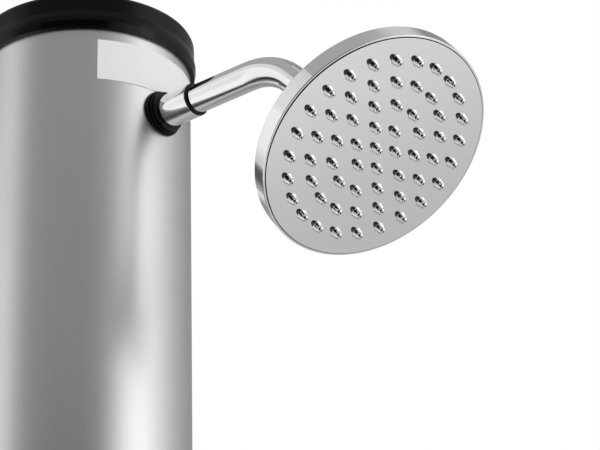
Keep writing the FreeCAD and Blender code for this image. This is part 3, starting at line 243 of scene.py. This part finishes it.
def moulded(name, low, high, roughness_value):
    """A plain moulded plastic: two close shades in soft clouds, and a fine skin."""
    material, tree, shader = finish_named(name, Roughness=roughness_value)
    place = add(tree, "ShaderNodeTexCoord").outputs["Object"]
    clouds = add(tree, "ShaderNodeTexNoise", {
        "Vector": place, "Scale": CLOUDS_PER_METRE, "Detail": 3.0})
    shade = add(tree, "ShaderNodeMix", {
        "Factor": clouds.outputs["Fac"], COLOUR_A: linear(low), COLOUR_B: linear(high)},
        data_type="RGBA")
    tree.links.new(shade.outputs[MIXED_COLOUR], shader.inputs["Base Color"])
    grain = add(tree, "ShaderNodeTexNoise", {"Vector": place, "Scale": SKIN_GRAINS_PER_METRE})
    skin = add(tree, "ShaderNodeBump", {
        "Height": grain.outputs["Fac"], "Strength": 0.1, "Distance": 0.03 * MM})
    tree.links.new(skin.outputs["Normal"], shader.inputs["Normal"])
    return material


white_pipe = moulded("polypropylene pipe white", "#DCDCD8", "#E8E8E4", 0.38)
grey_plastic = moulded("acetal moulded grey", "#7E8082", "#909294", 0.42)
print("inner finishes:", brass.name, white_pipe.name, grey_plastic.name)

# %% [markdown]
# ## Finishes on the CAD nodes
# Each CAD node arrives with a plain material named after its slot in the record. Its shape
# stays, and the slot is given the finish of the same name.

# %% Finishes on the CAD nodes
FINISHES = {"satin_aluminium": satin_aluminium, "polished_chrome": polished_chrome,
            "black_plastic": black_plastic, "black_rubber": black_rubber,
            "white_vinyl": white_vinyl, "brass": brass, "white_pipe": white_pipe,
            "grey_plastic": grey_plastic}
for node in nodes.values():
    for index, material in enumerate(node.data.materials):
        node.data.materials[index] = FINISHES[material.name.split(".")[0]]
print("finishes given:", len(FINISHES))

# %% [markdown]
# ## Turned pieces
# The nozzles and the plate of the rain head are round about an axis. One helper makes both as
# a lathe hand would think: a ring of corners is added, then pushed along and resized from one
# step of the outline to the next. The last ring closes the piece, because the circle that it
# starts from is filled.

# %% Rings along an outline
def turned_piece(name, outline, sides):
    """A round piece about Z: outline lists (radius, height) in mm from one closed end on."""
    bpy.ops.object.select_all(action="DESELECT")
    radius, height = outline[0]
    bpy.ops.mesh.primitive_circle_add(
        vertices=sides, radius=radius * MM, fill_type="NGON", location=(0, 0, height * MM))
    piece = bpy.context.object
    piece.name = name
    bpy.ops.object.transform_apply(location=True)
    bpy.ops.object.mode_set(mode="EDIT")
    bpy.ops.mesh.select_all(action="SELECT")
    for next_radius, next_height in outline[1:]:
        bpy.ops.mesh.extrude_region_move(
            TRANSFORM_OT_translate={"value": (0, 0, (next_height - height) * MM)})
        bpy.ops.transform.resize(
            value=(next_radius / radius, next_radius / radius, 1),
            center_override=(0, 0, next_height * MM))
        radius, height = next_radius, next_height
    bpy.ops.mesh.select_all(action="SELECT")
    bpy.ops.mesh.normals_make_consistent(inside=False)
    bpy.ops.object.mode_set(mode="OBJECT")
    return piece


def copy_at(piece, name, matrix):
    """A copy with a mesh of its own, put in its place."""
    twin = piece.copy()
    twin.data = piece.data.copy()
    twin.name = name
    twin.data.transform(matrix)
    bpy.context.scene.collection.objects.link(twin)
    return twin


def join_all(first, others):
    """Join the others into the first piece."""
    bpy.ops.object.select_all(action="DESELECT")
    for piece in [first, *others]:
        piece.select_set(True)
    bpy.context.view_layer.objects.active = first
    bpy.ops.object.join()


# %% [markdown]
# ## Face of the rain head
# The face is a flat chromed plate with 61 plated nozzles: one in the middle and rings of 6,
# 12, 18 and 24. Each nozzle is a blunt cone with a small fillet at its foot, a rolled tip and
# a hole of about 1 mm. The plate is a mirror, so each nozzle shows with its own image upside
# down behind it. The nozzle is modelled once and copied. Heights are counted down from the
# edge of the head's shell, which lies FACE_DROP below the middle of the ball joint.

# %% One nozzle
FACE_DROP = 30.0
NOZZLE_SIDES = 24
NOZZLE_OUTLINE = [
    (3.35, 0.3), (3.35, 0.62), (3.15, 0.75), (3.05, 1.0), (2.95, 1.9), (2.80, 2.9),
    (2.58, 4.0), (2.30, 4.9), (1.90, 5.55), (1.42, 5.9), (1.00, 6.0), (0.68, 5.88),
    (0.56, 5.6), (0.54, 2.2)]
BORE_LIMIT = 0.58 * MM
nozzle = turned_piece(
    "nozzle", [(radius, -FACE_DROP - drop) for radius, drop in NOZZLE_OUTLINE], NOZZLE_SIDES)
nozzle.data.materials.append(polished_chrome)
nozzle.data.materials.append(black_rubber)
# The bore's walls and floor get the black rubber finish: painted shade for the dark inside of
# the hole.
for side in nozzle.data.polygons:
    corners = [nozzle.data.vertices[index].co for index in side.vertices]
    bore_painted_shade = all(math.hypot(corner.x, corner.y) < BORE_LIMIT for corner in corners)
    side.material_index = 1 if bore_painted_shade else 0
print("nozzle faces:", len(nozzle.data.polygons))

# %% [markdown]
# The plate stands 0.6 mm proud of the shell. A thin black ring, 0.03 mm thick, lies on the
# shell's rim round the plate:
# painted shade for the gap between them. On the side nearest to the eye it shows as a fine dark
# line. On the far side the plate's edge hides it.

# %% Plate with its nozzles
NOZZLE_PITCH, NOZZLE_RINGS, FIRST_RING = 14.77, 4, 6
PLATE_RADIUS, PLATE_THICK, PLATE_PROUD, PLATE_SIDES = 73.3, 2.0, 0.6, 192
# Size of the thin black ring round the plate: painted shade for the gap at its edge.
SHADE_RING_RADIUS, SHADE_RING_TOP, SHADE_RING_FOOT = 73.85, 0.03, 0.06
PLATE_OUTLINE = [
    (72.9, -PLATE_THICK), (PLATE_RADIUS, 0.3 - PLATE_THICK), (PLATE_RADIUS, SHADE_RING_TOP),
    (SHADE_RING_RADIUS, SHADE_RING_TOP), (SHADE_RING_RADIUS, SHADE_RING_FOOT), (PLATE_RADIUS, SHADE_RING_FOOT),
    (PLATE_RADIUS, PLATE_PROUD - 0.1), (73.2, PLATE_PROUD)]
face = turned_piece(
    "rain_face", [(radius, -FACE_DROP - drop) for radius, drop in PLATE_OUTLINE], PLATE_SIDES)
face.data.materials.append(polished_chrome)
face.data.materials.append(black_rubber)
# Faces past the plate's edge form the thin black ring, which is painted shade for the gap, in
# the rubber finish.
for side in face.data.polygons:
    on_shade_ring = math.hypot(side.center.x, side.center.y) > (PLATE_RADIUS + 0.1) * MM
    side.material_index = 1 if on_shade_ring else 0
copies = []
for ring in range(1, NOZZLE_RINGS + 1):
    for step in range(FIRST_RING * ring):
        angle = 2 * math.pi * step / (FIRST_RING * ring)
        spot_on_plate = Vector((math.cos(angle), math.sin(angle), 0)) * NOZZLE_PITCH * ring * MM
        copies.append(copy_at(nozzle, "nozzle_copy", Matrix.Translation(spot_on_plate)))
join_all(face, [nozzle, *copies])
print("nozzles on the plate:", 1 + len(copies))

# %% [markdown]
# The plate was made about Z with its face down. The head's spin joint in the frame says
# where its middle is and which way it points, and a matrix takes the mesh there. HEAD_TURN is
# how far the rings of nozzles are turned about that axis.

# %% The plate in the head
HEAD_TURN = math.radians(-49.0)
SMOOTH_BELOW = math.radians(35)
spin = next(joint for joint in frame["joints"] if joint["name"] == "head_spin")
down = Vector(spin["axis"]).normalized()
across = down.cross(Vector((0, 0, 1))).normalized()
beside = down.cross(across)
first = across * math.cos(HEAD_TURN) + beside * math.sin(HEAD_TURN)
head_place = Matrix((first, (-down).cross(first), -down)).transposed().to_4x4()
head_place.translation = Vector(spin["pos_m"])
face.data.transform(head_place)
bpy.ops.object.select_all(action="DESELECT")
face.select_set(True)
bpy.context.view_layer.objects.active = face
bpy.ops.object.shade_smooth_by_angle(angle=SMOOTH_BELOW)
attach(face, "rain_head")
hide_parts("face_plate")
print("face of the head:", len(face.data.polygons), "faces")

# %% [markdown]
# ## Camera
# The camera stands low in front of the shower and looks up at its head through a long lens.
# Its place, turns and lens were solved from the outlines and nozzle centres together.

# %% Camera
CAMERA_PLACE = (-1.00185, -1.00501, 1.37012)
HEADING, PITCH, ROLL = math.radians(-50.6805), math.radians(25.13), math.radians(-1.5612)
camera = bpy.data.objects.new("camera", bpy.data.cameras.new("camera"))
bpy.context.scene.collection.objects.link(camera)
camera.data.lens = 142.1
camera.data.sensor_width = 36.0
camera.data.clip_end = 100.0
camera.matrix_world = (
    Matrix.Translation(CAMERA_PLACE) @ Matrix.Rotation(HEADING, 4, "Z")
    @ Matrix.Rotation(math.pi / 2 + PITCH, 4, "X") @ Matrix.Rotation(ROLL, 4, "Z"))
bpy.context.scene.camera = camera
print("camera at", CAMERA_PLACE, "lens", round(camera.data.lens, 1), "mm")

# %% [markdown]
# ## Studio
# The floor is plain and pale, and the background is white. Metal shows the room, not itself,
# so a photographer puts pale and dark walls round it. Here a round wall, two cards, a ceiling
# and the floor do that with soft light of their own, which only reflections see. It is fitted
# to one view: for spots on the metal, the direction that each mirrors was worked out, how
# bright the spot is in the photograph was measured, and the light on that side was set from
# it and adjusted from render to render. A colour ramp round the compass holds the strengths,
# so a wall goes softly from bright to dark.

# %% Soft light that turns with the compass
def compass_ramp(tree, lights):
    """Grey light that goes from one (degrees, strength) pair to the next round the object."""
    place = add(tree, "ShaderNodeTexCoord").outputs["Object"]
    axes = add(tree, "ShaderNodeSeparateXYZ", {"Vector": place})
    turn = add(tree, "ShaderNodeMath", {0: axes.outputs["Y"], 1: axes.outputs["X"]},
               operation="ARCTAN2")
    share = add(tree, "ShaderNodeMapRange", {
        "Value": turn.outputs[0], "From Min": -math.pi, "From Max": math.pi})
    ramp = add(tree, "ShaderNodeValToRGB", {"Fac": share.outputs[0]})
    points = ramp.color_ramp.elements
    points[0].position, points[1].position = 0.0, 1.0
    for degrees, _ in lights[1:-1]:
        points.new((degrees + 180) / 360)
    for point, (_, light) in zip(points, lights):
        point.color = (light, light, light, 1)
    return ramp.outputs["Color"]


def lit_card(name, light_from):
    """A material that only shines, with the light that the given function makes."""
    material = bpy.data.materials.new(name)
    material.use_nodes = True
    tree = material.node_tree
    tree.nodes.clear()
    glow = add(tree, "ShaderNodeEmission", {"Color": light_from(tree)})
    add(tree, "ShaderNodeOutputMaterial", {"Surface": glow.outputs[0]})
    return material


def only_reflected(card):
    """Only reflections see this card: it neither lights, shades nor hides anything."""
    for kind in ("camera", "diffuse", "transmission", "volume_scatter", "shadow"):
        setattr(card, "visible_" + kind, False)


def open_cylinder(name, sides, radius, foot, top):
    """An upright round wall about the object, open below and above."""
    bpy.ops.object.select_all(action="DESELECT")
    bpy.ops.mesh.primitive_cylinder_add(
        vertices=sides, radius=radius, depth=top - foot, end_fill_type="NOTHING",
        location=(0, 0, (top + foot) / 2))
    bpy.ops.object.transform_apply(location=True)
    bpy.context.object.name = name
    return bpy.context.object


# %% Studio wall
STUDIO_SIDES, STUDIO_RADIUS, WALL_FOOT, WALL_TOP = 96, 6.0, -0.4, 8.5
LOW_LIGHT = [(-180, 0.38), (-120, 0.37), (-111, 0.44), (-102, 0.68), (-92, 1.26), (-84, 1.44),
             (-70, 1.36), (-58, 1.12), (-46, 0.88), (-36, 0.68), (-24, 0.54), (-8, 0.42),
             (10, 0.30), (32, 0.40), (52, 0.34), (73, 0.17), (84, 0.38), (93, 0.62),
             (104, 0.92), (142, 0.97), (158, 0.35), (180, 0.28)]
HIGH_LIGHT = [(-180, 0.32), (-108, 0.30), (-98, 0.30), (-88, 0.45), (-79, 0.96), (-70, 1.20),
              (-60, 1.06), (-48, 0.84), (-36, 0.67), (-24, 0.53), (-8, 0.42),
              (6, 0.33), (20, 0.28), (52, 0.40), (73, 0.25), (84, 0.30), (104, 0.42),
              (122, 0.52), (134, 0.80), (148, 0.73), (156, 0.55), (166, 0.34), (180, 0.28)]
LOW_END, HIGH_END = 4.7, 5.2


def wall_light(tree):
    """The low ring of light, which goes over into the high ring with height."""
    place = add(tree, "ShaderNodeTexCoord").outputs["Object"]
    axes = add(tree, "ShaderNodeSeparateXYZ", {"Vector": place})
    rise = add(tree, "ShaderNodeMapRange", {
        "Value": axes.outputs["Z"], "From Min": LOW_END, "From Max": HIGH_END})
    return add(tree, "ShaderNodeMix", {
        "Factor": rise.outputs[0], COLOUR_A: compass_ramp(tree, LOW_LIGHT),
        COLOUR_B: compass_ramp(tree, HIGH_LIGHT)}, data_type="RGBA").outputs[MIXED_COLOUR]


wall = open_cylinder("studio_wall", STUDIO_SIDES, STUDIO_RADIUS, WALL_FOOT, WALL_TOP)
wall.data.materials.append(lit_card("studio wall lit", wall_light))
only_reflected(wall)
print("wall:", len(LOW_LIGHT), "low and", len(HIGH_LIGHT), "high strengths")

# %% [markdown]
# A black card on the camera's side gives the chrome its dark patches, and a small bright card
# adds a little glare on the lip of the cap. Both are strips of an open cylinder.

# %% Black card and bright card
CARD_SIDES = 144


def curved_card(name, radius, foot, top, first_turn, last_turn, light):
    """An upright card, bent round the object between two compass turns, in degrees."""
    card = open_cylinder(name, CARD_SIDES, radius, foot, top)
    bpy.ops.object.mode_set(mode="EDIT")
    bpy.ops.mesh.select_mode(type="FACE")
    bpy.ops.mesh.select_all(action="DESELECT")
    bpy.ops.object.mode_set(mode="OBJECT")
    for side in card.data.polygons:
        turn = math.degrees(math.atan2(side.center.y, side.center.x))
        side.select = not first_turn < turn < last_turn
    bpy.ops.object.mode_set(mode="EDIT")
    bpy.ops.mesh.delete(type="FACE")
    bpy.ops.object.mode_set(mode="OBJECT")
    card.data.materials.append(lit_card(name, lambda tree: add(
        tree, "ShaderNodeCombineXYZ", {"X": light, "Y": light, "Z": light}).outputs[0]))
    only_reflected(card)
    print(name, "has", len(card.data.polygons), "faces")


curved_card("black_card", radius=3.3, foot=0.0, top=2.8,
            first_turn=-179.0, last_turn=-112.0, light=0.01)
curved_card("bright_card", radius=5.5, foot=2.7, top=3.2,
            first_turn=-80.0, last_turn=-64.0, light=2.5)

# %% Ceiling
CEILING_LIGHT = [(-180, 0.40), (-60, 0.44), (-25, 0.60), (-9, 0.64), (-1, 0.60), (8, 0.28),
                 (30, 0.34), (60, 0.40), (180, 0.40)]
bpy.ops.object.select_all(action="DESELECT")
bpy.ops.mesh.primitive_circle_add(
    vertices=STUDIO_SIDES, radius=STUDIO_RADIUS, fill_type="NGON", location=(0, 0, WALL_TOP))
bpy.ops.object.transform_apply(location=True)
ceiling = bpy.context.object
ceiling.name = "studio_ceiling"
ceiling.data.materials.append(lit_card(
    "studio ceiling lit", lambda tree: compass_ramp(tree, CEILING_LIGHT)))
only_reflected(ceiling)
print("ceiling at", WALL_TOP, "m")

# %% [markdown]
# The floor is a plain pale surface to the eye and to the lamp. Reflections don't see that
# floor: they see a ramp on it instead, because the flat face of the head mirrors the floor,
# and its shading comes from there.

# %% Floor
FLOOR_RADIUS = 9.0
FLOOR_LIGHT = [(-180, 0.40), (-160, 0.20), (-136, 0.08), (-122, 0.03), (-100, 0.02),
               (-88, 0.24), (-72, 0.70), (-60, 0.77), (-50, 0.76), (-39, 0.74), (-37, 0.70),
               (-34, 0.60), (-31, 0.54), (-18, 0.51), (-4, 0.50), (20, 0.50), (36, 0.42),
               (45, 0.30), (60, 0.22), (98, 0.15), (110, 0.35), (118, 0.80), (128, 1.0),
               (150, 1.0), (165, 0.75), (180, 0.45)]
bpy.ops.object.select_all(action="DESELECT")
bpy.ops.mesh.primitive_circle_add(
    vertices=STUDIO_SIDES, radius=FLOOR_RADIUS, fill_type="NGON")
floor = bpy.context.object
floor.name = "floor"
floor_finish, tree, shader = finish_named(
    "floor pale", Base_Color=linear("#E6E6E6"), Roughness=0.9)
glow = add(tree, "ShaderNodeEmission", {"Color": compass_ramp(tree, FLOOR_LIGHT)})
path = add(tree, "ShaderNodeLightPath")
seen = add(tree, "ShaderNodeMixShader", {
    0: path.outputs["Is Glossy Ray"], 1: shader.outputs[0], 2: glow.outputs[0]})
tree.links.new(seen.outputs[0], tree.nodes["Material Output"].inputs["Surface"])
floor.data.materials.append(floor_finish)
print("floor:", 2 * FLOOR_RADIUS, "m across")

# %% [markdown]
# The world is white at a strength of 1 wherever the camera, a reflection or glass looks at
# it. As a light on the object it is a little weaker, and one soft lamp, high on the camera's
# right, adds to it and gives the floor its shadow. Reflections don't see the lamp.

# %% World
WORLD_LIGHT = 0.92
world = bpy.data.worlds.new("studio")
bpy.context.scene.world = world
world.use_nodes = True
tree = world.node_tree
background = tree.nodes["Background"]
background.inputs["Color"].default_value = (1, 1, 1, 1)
path = add(tree, "ShaderNodeLightPath")
mirrored = add(tree, "ShaderNodeMath", {
    0: path.outputs["Is Camera Ray"], 1: path.outputs["Is Glossy Ray"]}, operation="MAXIMUM")
seen = add(tree, "ShaderNodeMath", {
    0: mirrored.outputs[0], 1: path.outputs["Is Transmission Ray"]}, operation="MAXIMUM")
strength = add(tree, "ShaderNodeMapRange", {
    "Value": seen.outputs[0], "To Min": WORLD_LIGHT, "To Max": 1.0})
tree.links.new(strength.outputs[0], background.inputs["Strength"])
print("world lights the object at", WORLD_LIGHT)

# %% Key lamp
KEY_PLACE, KEY_TARGET = Vector((1.5, -2.2, 3.2)), Vector((0, 0, 1.6))
KEY_WIDTH, KEY_HEIGHT, KEY_WATTS = 0.8, 2.4, 14
key_light = bpy.data.lights.new("key", "AREA")
key_light.shape = "RECTANGLE"
key_light.size, key_light.size_y, key_light.energy = KEY_WIDTH, KEY_HEIGHT, KEY_WATTS
key = bpy.data.objects.new("key", key_light)
bpy.context.scene.collection.objects.link(key)
key.location = KEY_PLACE
key.rotation_euler = (KEY_TARGET - KEY_PLACE).to_track_quat("-Z", "Y").to_euler()
key.visible_glossy = False
bpy.context.scene.view_settings.view_transform = "Standard"
print("key lamp:", KEY_WATTS, "W")

# %% [markdown]
# ## End of the scene

# %% End of the scene
print("scene built")
